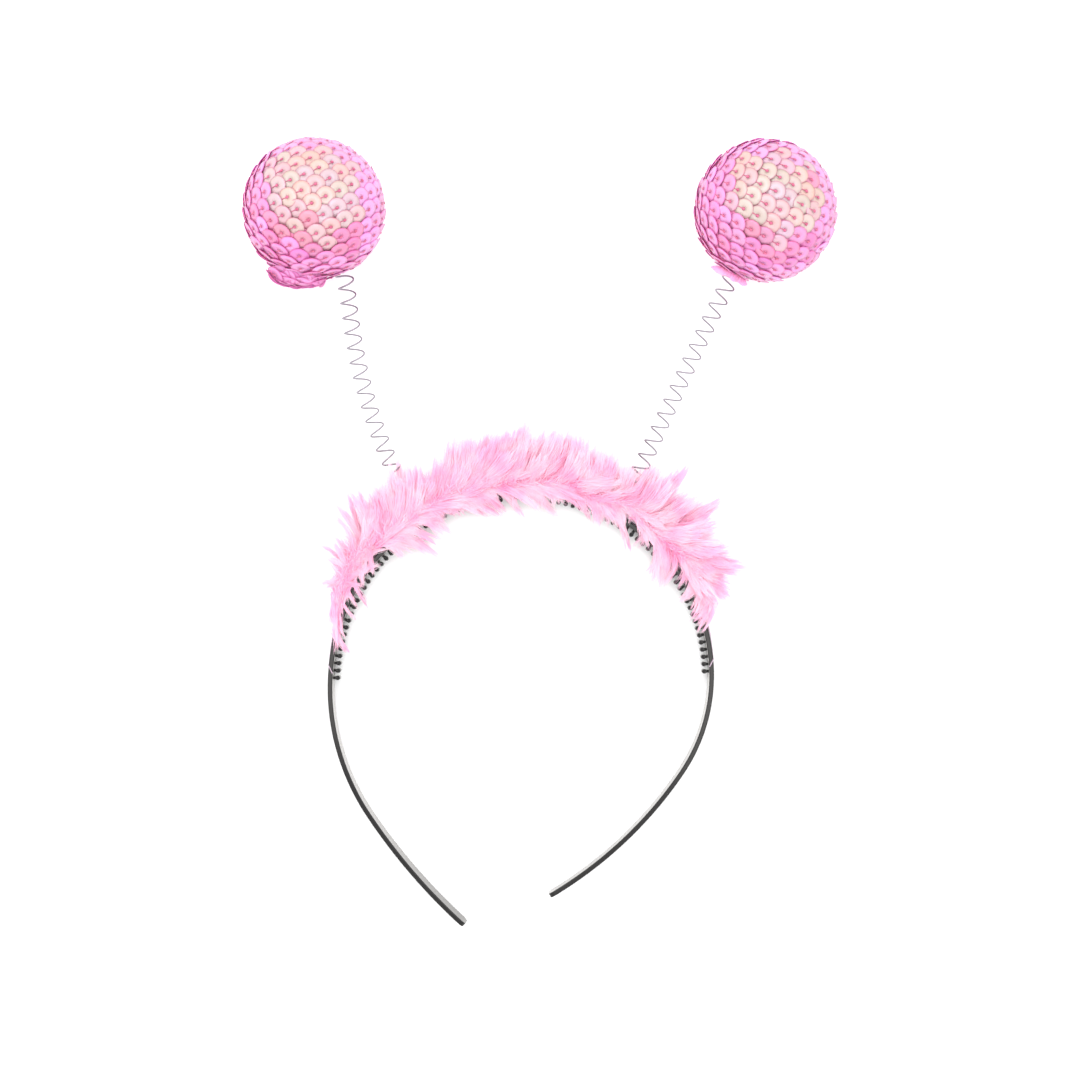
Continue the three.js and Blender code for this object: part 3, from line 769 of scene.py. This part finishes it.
# Plumes: station on the band, lean from the outward normal towards the right tip, reach and
# width, in millimetres and degrees. The first lie outward, the others cross over the band.
OUTER_PLUMES = [
    (-52.6, 19, 19.8, 2.2), (-52.1, 39, 20.0, 5.0), (-50.6, 44, 16.9, 4.4), (-47.0, 50, 19.1, 6.3),
    (-42.9, 48, 23.1, 6.3), (-39.5, 52, 18.1, 7.6), (-35.3, 44, 17.4, 4.4), (-31.8, 44, 15.6, 5.0),
    (-27.8, 44, 21.2, 8.8), (-23.7, 46, 20.7, 8.8), (-19.7, 49, 22.3, 9.4), (-15.0, 45, 21.6, 6.9),
    (-10.3, 42, 23.2, 9.4), (-4.1, 38, 19.2, 8.2), (0.5, 36, 20.2, 8.2), (6.5, 24, 18.5, 7.6),
    (12.6, 15, 18.9, 6.3), (18.1, 8, 15.0, 7.6), (21.9, 9, 15.2, 6.3), (26.7, 12, 12.6, 8.2),
    (31.1, 16, 16.8, 8.8), (35.4, 16, 22.2, 3.8), (37.1, 21, 19.0, 6.3), (39.1, 38, 19.2, 8.8),
    (41.4, 35, 25.1, 6.3), (43.6, 44, 18.9, 9.4), (46.3, 52, 22.2, 8.2), (50.0, 61, 24.6, 6.9),
    (53.4, 73, 20.2, 8.2), (57.8, 84, 16.1, 7.6), (63.6, 97, 10.3, 4.4), (-60.7, 14, 13.7, 1.6),
    (-58.9, 30, 11.2, 3.1), (-61.5, -49, 7.2, 3.8), (-59.6, 4, 8.2, 3.8), (-64.2, -112, 10.8, 2.5),
    (-67.4, -114, 12.7, 2.0),
]
INNER_PLUMES = [
    (45.0, 133, 17.2, 6.9), (45.6, 149, 15.5, 4.4), (47.2, 165, 15.8, 1.3), (-58.6, -152, 14.9, 1.6),
    (-62.5, -145, 6.4, 2.5), (-66.9, -149, 10.4, 0.9), (-77.0, -131, 8.8, 1.9),
    (-54.7, -171, 5.7, 4.4), (-46.6, 150, 13.1, 3.1), (-42.9, 159, 17.1, 3.8),
    (-40.1, 145, 14.5, 3.1), (-34.8, 143, 13.7, 3.8), (-25.8, 129, 17.4, 3.8),
    (-19.8, 129, 15.1, 3.1), (-15.9, 140, 15.6, 4.4), (-9.9, 141, 16.9, 4.4), (-2.8, 129, 19.1, 3.8),
    (3.6, 121, 14.9, 3.8), (9.4, 122, 14.9, 4.4), (14.0, 124, 15.9, 5.0), (21.6, 119, 14.1, 4.4),
    (26.0, 129, 20.0, 2.5), (30.6, 141, 10.2, 2.5), (35.6, 131, 9.3, 2.5), (67.9, 106, 5.9, 2.5),
]

# Stations of the softer plumes: FILL between the main ones at several rises, UNDER low down,
# VEIL over the band and its teeth, TAIL along the left arm, HAZE over the right arm's teeth,
# CORE along the core itself, and FOOT round the feet of the springs
FILL_PLUMES = np.linspace(-51, 60, 62)
FILL_RISES = (2, 5, 9, 14, 20, 28)
UNDER_PLUMES = np.linspace(-50, 58, 30)
VEIL_PLUMES = np.linspace(-66, 44, 106)
TAIL_PLUMES = np.linspace(-74, -50, 30)
HAZE_PLUMES = np.linspace(46, 72, 26)
CORE_PLUMES = np.linspace(-52, 57, 46)
FOOT_PLUMES = (-44, -42.5, -41, -39.5, -38, -36, 30)
# Stretches where the teeth show bare: middle and half length
BARE_TEETH = ((-59.6, 2), (-50.8, 2.5), (-9, 5), (9, 11), (38, 5))

# How far the plumes' core lies outward from the band's centre line, and its height
CORE_STATIONS = np.array([
    -82, -75, -70, -65, -52.8, -46, -32.8, -21.5, -11.5, -1.8, 10.2, 25.5, 34.5, 40.8, 52, 58.5])
CORE_OFFSETS = np.array([
    0.8, 1.1, 2.0, 4.2, 5.2, 2.5, 1.9, 2.1, 1.9, 2.2, 2.5, 2.8, 4.6, 2.8, 2.9, 3.7])
CORE_HIGH = 8.4 * MM

# The height that a strand keeps over the band and teeth, by how far out it is
COVER_OUT = np.array([-5.0, -3.4, -1.1, 1.1, 2.4]) * MM
COVER_HIGH = np.array([0.3, 7.5, 9.4, 9.4, 8.2]) * MM

# Barbs: thin ribbons in locks; SWEEP bends a plume towards the right before it turns outward
SWEEP = 0.26
BARB_POINTS = 7
BARB_TAPER = np.array([0.8, 1, 1, 0.95, 0.85, 0.6, 0.15])
BARB_WIDTH = 0.24 * MM
VEIL_WIDTH = 0.15 * MM
BARB_CLEAR = 0.3 * MM
LOCK_BARBS = 18
DOWN_BARBS = 3200


def core_at(station, height):
    point, forward, outward = band_at(station)
    out = np.interp(station / MM, CORE_STATIONS, CORE_OFFSETS) * MM
    core = point + outward * out
    core[2] = height
    return core, forward, outward, out


def plume_barbs(rng, row, count, rise, over=False, barb_width=BARB_WIDTH):
    """Centre lines, shades and width of one plume's barbs, in locks fanned about a bent quill."""
    station, reach, width = row[0] * MM, row[2] * MM, row[3] * MM
    lean = math.radians(row[1])
    height = CORE_HIGH if over else rng.uniform(0.45, 0.9) * BAND_WIDTH
    root, forward, outward, out = core_at(station, height)
    shift = rng.normal(0, 0.8) * MM
    root = root + outward * shift
    out = out + shift
    direction = outward * math.cos(lean) + forward * math.sin(lean)
    tip = root + direction * reach + UP * reach * math.tan(math.radians(rise))
    sweep = SWEEP if 0 < row[1] < 175 else 0
    bend = root + (tip - root) * (0.45 - sweep) + forward * sweep * reach + UP * 2.5 * MM
    across = np.cross(UP, direction)
    locks = max(3, count // LOCK_BARBS)
    lock = rng.integers(locks, size=count)
    lock_side = rng.uniform(-1, 1, locks)
    lock_end = (1 - 0.45 * np.abs(lock_side) ** 1.6 * rng.uniform(0.3, 1, locks)
                - rng.beta(1.2, 4, locks) * 0.4)
    start = rng.beta(0.8, 2.6, count) * 0.5
    end = np.clip(lock_end[lock] + rng.normal(0, 0.05, count), start + 0.25, 1.04)
    side = lock_side[lock] * width * 0.5
    stray = rng.normal(0, 0.32, count) * width * 0.5
    lift = rng.normal(0, 0.05, locks)[lock] * width * 0.45 + rng.normal(0, 0.2, count) * MM
    foot = (forward * (rng.uniform(-0.5, 0.5, (count, 1)) * min(width, 5 * MM))
            + outward * rng.triangular(-0.9, 0.2, 2.6, (count, 1)) * MM
            + UP * rng.triangular(-1.0, 0.5, 2.2, (count, 1)) * MM)
    k = np.linspace(0, 1, BARB_POINTS)[None, :, None]
    t = start[:, None, None] + (end - start)[:, None, None] * k
    lines = root * (1 - t) ** 2 + 2 * bend * t * (1 - t) + tip * t ** 2
    fan = t ** 1.3
    gathered = 1 - 0.85 * k ** 3
    lines += across * (side[:, None, None] + stray[:, None, None] * gathered) * fan
    lines += UP * lift[:, None, None] * fan
    lines += foot[:, None, :] * (1 - t) ** 2
    wave = np.sin(k * rng.uniform(2, 6, (count, 1, 1)) + rng.uniform(0, 6.3, (count, 1, 1)))
    swell = k * rng.uniform(0.1, 0.45, (count, 1, 1)) * MM
    lines += across * wave * swell + UP * np.roll(wave, 2, axis=1) * swell
    if over:
        moved = lines - root
        out = out + moved @ outward + (moved @ forward) ** 2 / (2 * CROWN_RADIUS)
        cover = np.interp(out, COVER_OUT, COVER_HIGH) + rng.uniform(0, 0.7, (count, 1)) * MM
        lines[..., 2] = np.maximum(lines[..., 2], cover)
    return lines, np.minimum(t[..., 0] + max(0, rng.uniform(-0.15, 0.3)), 1), barb_width


def fill_rows(rng, stations, rises):
    """Softer plumes between the main ones, with their lean and reach in between."""
    main = sorted(row for row in OUTER_PLUMES if -53 < row[0] < 60)
    known = [row[0] for row in main]
    for station in stations:
        lean = np.interp(station, known, [row[1] for row in main]) + rng.normal(0, 9)
        reach = np.interp(station, known, [row[2] for row in main])
        rise = rng.choice(rises)
        share = rng.uniform(0.74, 0.96) * math.cos(math.radians(rise)) ** 1.5
        yield (station, lean, reach * share, rng.uniform(6, 9) + 30 / (rise + 6)), rise


def is_bare(station):
    return any(abs(station - middle) < half for middle, half in BARE_TEETH)


def core_rows(rng):
    """Strands that run along the core towards the right before they curve outward."""
    for station in CORE_PLUMES:
        yield (station, rng.normal(66, 24), rng.uniform(9, 16), rng.uniform(4, 7)), 150
    for station in FOOT_PLUMES:
        yield (station, rng.normal(42, 5), rng.uniform(15, 19), rng.uniform(5, 7)), 150


def veil_rows(rng):
    """Fine strands that lie across the band and its teeth, swept towards the right."""
    for station in VEIL_PLUMES:
        reach = rng.uniform(5, 9) if is_bare(station) else rng.uniform(8, 13)
        yield (station, rng.normal(122, 22), reach, rng.uniform(4, 7)), 32 if is_bare(station) else 80
    for station in TAIL_PLUMES:
        width = rng.uniform(2, 4) if station > -68 else rng.uniform(1, 2)
        yield (station, min(rng.normal(-112, 14), -100), rng.uniform(7, 11), width), int(14 * width)
    for station in HAZE_PLUMES:
        yield (station, rng.normal(134, 12), rng.uniform(8, 11), rng.uniform(2, 4)), 36


def down_barbs(rng, count):
    """Short down all along the core, standing out to every side."""
    lines = []
    k = np.linspace(0, 1, BARB_POINTS)[:, None]
    for station in rng.uniform(-62, 64, count) * MM:
        root, forward, outward, _ = core_at(station, BAND_WIDTH * rng.uniform(0.3, 0.98))
        lean = math.radians(rng.normal(40, 40))
        rise = math.radians(rng.uniform(-20, 95))
        direction = ((outward * math.cos(lean) + forward * math.sin(lean)) * math.cos(rise)
                     + UP * math.sin(rise))
        curl = forward * rng.normal(0.8, 1.2) * MM + outward * rng.uniform(0, 1.5) * MM
        lines.append(root + direction * rng.uniform(3, 8) * MM * k + curl * k ** 2)
    return np.array(lines), np.tile(k[:, 0] * 0.6, (count, 1)), BARB_WIDTH


def ribbons(rng, lines, widths):
    """Thin tapering ribbons along lines, each turned its own way about its length."""
    count = len(lines)
    ahead = unit(np.gradient(lines, axis=1))
    flat = unit(np.cross(ahead, UP) + 1e-9)
    lift = np.cross(flat, ahead)
    turn = rng.normal(0, 0.4, (count, 1, 1))
    across = flat * np.cos(turn) + lift * np.sin(turn)
    half = (widths[:, None, None] * rng.uniform(0.6, 1.3, (count, 1, 1)) / 2
            * BARB_TAPER[None, :, None])
    verts = np.stack([lines - across * half, lines + across * half], 2)
    base = np.arange(count)[:, None] * BARB_POINTS * 2 + np.arange(BARB_POINTS - 1)[None] * 2
    base = base.reshape(-1)
    return verts.reshape(-1, 3), np.stack([base, base + 1, base + 3, base + 2], 1)


def make_feathers(material, seed=11):
    rng = np.random.default_rng(seed)
    parts = []
    for station, lean, reach, width in OUTER_PLUMES:
        for share, rise, stray in ((1.12, 4, 0), (1.0, 12, 5)):
            row = (station + rng.normal(0, 0.8), lean + rng.normal(0, 1) * stray, reach * share, width)
            parts.append(plume_barbs(rng, row, int(1.5 * reach * width) + 24, rise))
    for row, rise in fill_rows(rng, FILL_PLUMES, FILL_RISES):
        parts.append(plume_barbs(rng, row, 280, rise))
    for row, rise in fill_rows(rng, UNDER_PLUMES, (1, 2)):
        parts.append(plume_barbs(rng, row, 200, rise))
    for station, lean, reach, width in INNER_PLUMES:
        row = (station, lean, reach, width * 1.25)
        dense = 0.5 if is_bare(station) else 2.2
        parts.append(plume_barbs(rng, row, int(dense * reach * width) + 12,
                                 rng.uniform(-22, -12), over=True))
    for row, count in veil_rows(rng):
        parts.append(plume_barbs(rng, row, count, rng.uniform(-14, -4), over=True,
                                 barb_width=VEIL_WIDTH))
    for row, count in core_rows(rng):
        parts.append(plume_barbs(rng, row, count, rng.uniform(0, 12), over=True))
    parts.append(down_barbs(rng, DOWN_BARBS))
    lines = np.concatenate([part[0] for part in parts])
    shades = np.concatenate([part[1] for part in parts])
    widths = np.repeat([part[2] for part in parts], [len(part[0]) for part in parts])
    clear = BARB_CLEAR + rng.uniform(0, 0.5, (len(lines), 1)) * MM
    lines[..., 2] = np.maximum(lines[..., 2], clear)
    order = np.argsort(lines[:, 0, 0])
    for name, chosen in zip("abcd", np.array_split(order, 4)):
        verts, quads = ribbons(rng, lines[chosen], widths[chosen])
        strand = np.repeat(rng.random(len(chosen)), BARB_POINTS * 2)
        shade = np.repeat(shades[chosen].reshape(-1), 2)
        trim = make_object(f"marabou_{name}", verts, quads, uvs=np.stack([strand, shade], 1))
        finish_piece(trim, material, "headband", "feather", "feather_trim")


def film_end_rings(side):
    """The strip's loose end: a strand that crosses the band's upper edge on its way to the tip."""
    rings = []
    for share in np.linspace(0, 1, 7):
        station = side * (FILM_SPAN / 2 + share * STRAND_RUN)
        point, along, outward = band_at(station)
        out = BAND_THICKNESS * (0.62 - 1.05 * share)
        drop = STRAND_DROP * max(0, 1 - share / STRAND_DROP_SHARE)
        height = BAND_WIDTH + STRAND_OVER - drop
        across = unit(outward + side * along * 0.55)
        half_across, half_up = STRAND_HALVES
        rings.append([point + outward * out + across * x * half_across + UP * (height + z * half_up)
                      for x, z in ((1, 1), (-1, 1), (-1, -1), (1, -1))])
    return np.array(rings)


def make_film(material):
    rings = []
    for station in np.linspace(-FILM_SPAN / 2, FILM_SPAN / 2, 120):
        point, _, outward = band_at(station)
        full = smoothstep(FILM_SPAN / 2 - abs(station), 0, FILM_THINNING)
        near = BAND_THICKNESS / 2 + FILM_GAP + FILM_SEAT * full
        half = FILM_THICKNESS / 2 * (FILM_END_SHARE + (1 - FILM_END_SHARE) * full)
        rings.append([
            point + outward * (near + half + out) + UP * (BAND_WIDTH / 2 + rise)
            for out, rise in rounded_section(half, FILM_HALF_HEIGHT, half * 0.8)])
    strips = [np.array(rings), film_end_rings(-1), film_end_rings(1)]
    quads, shift = [], 0
    for strip in strips:
        quads.append(ring_quads(*strip.shape[:2]) + shift)
        shift += strip.shape[0] * strip.shape[1]
    film = make_object("trim_backing", np.vstack([strip.reshape(-1, 3) for strip in strips]),
                       np.vstack(quads))
    finish_piece(film, material, "headband", "feather", "feather_trim")


# The frayed cloth end round the right ball's neck: lobes by their turn round it, in millimetres,
# and a section as share of the reach and place along the axis

TUFT_LOBES = {20: 5.2, 85: 6.0, 150: 7.6, 215: 6.2, 290: 5.4}
TUFT_WAIST = 4.2
TUFT_LOBE_ANGLE = 15
TUFT_SIDES = 96
TUFT_PROFILE = (
    (0.0, 0.8), (0.3, 0.6), (0.65, 0.1), (1.0, -0.9), (0.97, -1.3), (0.62, -1.2), (0.3, -1.2),
    (0.0, -1.4))


def make_tuft(place, material):
    rng = np.random.default_rng(5)
    axis = place["axis"]
    across, lift = cross_axes(axis)
    inner = COIL_RADIUS + WIRE_RADIUS + GAP
    ragged = rng.normal(0, 0.45, TUFT_SIDES)
    verts = []
    for share, along in TUFT_PROFILE:
        for i in range(TUFT_SIDES):
            phi = 2 * math.pi * i / TUFT_SIDES
            reach = TUFT_WAIST + ragged[i]
            for turn, lobe in TUFT_LOBES.items():
                off = (math.degrees(phi) - turn + 180) % 360 - 180
                reach += (lobe - TUFT_WAIST) * math.exp(-(off / TUFT_LOBE_ANGLE) ** 2)
            radius = inner + (reach * MM - inner) * share
            ruffle = 0.5 * MM * math.sin(phi * 7 + 1) * share
            verts.append(place["mouth"] + axis * (along * MM + ruffle)
                         + (across * math.cos(phi) + lift * math.sin(phi)) * radius)
    tuft = make_object("cloth_end", verts, loop_quads(len(TUFT_PROFILE), TUFT_SIDES))
    finish_piece(tuft, material, "ball_right", "cover_cloth", "cloth_tuft")


# The studio

def make_camera():
    top, _, _ = band_at(0)
    middle = PHOTO_SIZE / 2
    camera = bpy.data.objects.new("camera", bpy.data.cameras.new("camera"))
    camera.location = (
        top[0] + (middle - CROWN_PIXEL[0]) * PHOTO_SCALE,
        top[1] - (middle - CROWN_PIXEL[1]) * PHOTO_SCALE,
        CAMERA_HEIGHT)
    camera.data.sensor_width = SENSOR
    camera.data.lens = SENSOR * (CAMERA_HEIGHT - BAND_WIDTH / 2) / (PHOTO_SIZE * PHOTO_SCALE)
    bpy.context.scene.collection.objects.link(camera)
    bpy.context.scene.camera = camera


def make_floor():
    corners = [(x * FLOOR_HALF, y * FLOOR_HALF, 0) for x, y in ((-1, -1), (1, -1), (1, 1), (-1, 1))]
    floor = make_object("floor", corners, [(0, 1, 2, 3)], flat=True)
    n = Nodes("pale_floor")
    n.set(Base_Color=(0.94, 0.94, 0.94, 1.0), Roughness=0.85, Specular_IOR_Level=0.1)
    floor.data.materials.append(n.material)


def area_light(name, place, target, size, power):
    data = bpy.data.lights.new(name, "AREA")
    data.shape = "DISK"
    data.size = size
    data.energy = power
    light = bpy.data.objects.new(name, data)
    light.location = place
    light.rotation_euler = (Vector(target) - Vector(place)).to_track_quat("-Z", "Y").to_euler()
    bpy.context.scene.collection.objects.link(light)


def make_light():
    world = bpy.data.worlds.new("studio")
    bpy.context.scene.world = world
    world.use_nodes = True
    background = world.node_tree.nodes["Background"]
    background.inputs["Color"].default_value = (1.0, 1.0, 1.0, 1.0)
    background.inputs["Strength"].default_value = WORLD_LIGHT
    for name, settings in LIGHTS.items():
        area_light(name, *settings)
    bpy.context.scene.view_settings.view_transform = "Standard"


def main():
    make_camera()
    make_floor()
    make_light()
    materials = {
        "plastic": plastic_material(), "film": film_material(), "wire": wire_material(),
        "cloth": cloth_material("cover_cloth", screen(248, 150, 196), screen(255, 178, 216)),
        "cloth_end": cloth_material("cloth_end", screen(244, 156, 202), screen(252, 182, 220)),
        "thread": thread_material(), "sequin": sequin_material(), "feather": feather_material(),
    }
    make_headband(materials["plastic"])
    for seed, (side, bopper) in enumerate(BOPPERS.items(), start=3):
        place = bopper_frame(bopper)
        make_spring(side, place, materials["wire"])
        make_ball(side, place, materials, seed)
        if side == "right":
            make_tuft(place, materials["cloth_end"])
    make_film(materials["film"])
    make_feathers(materials["feather"])


main()
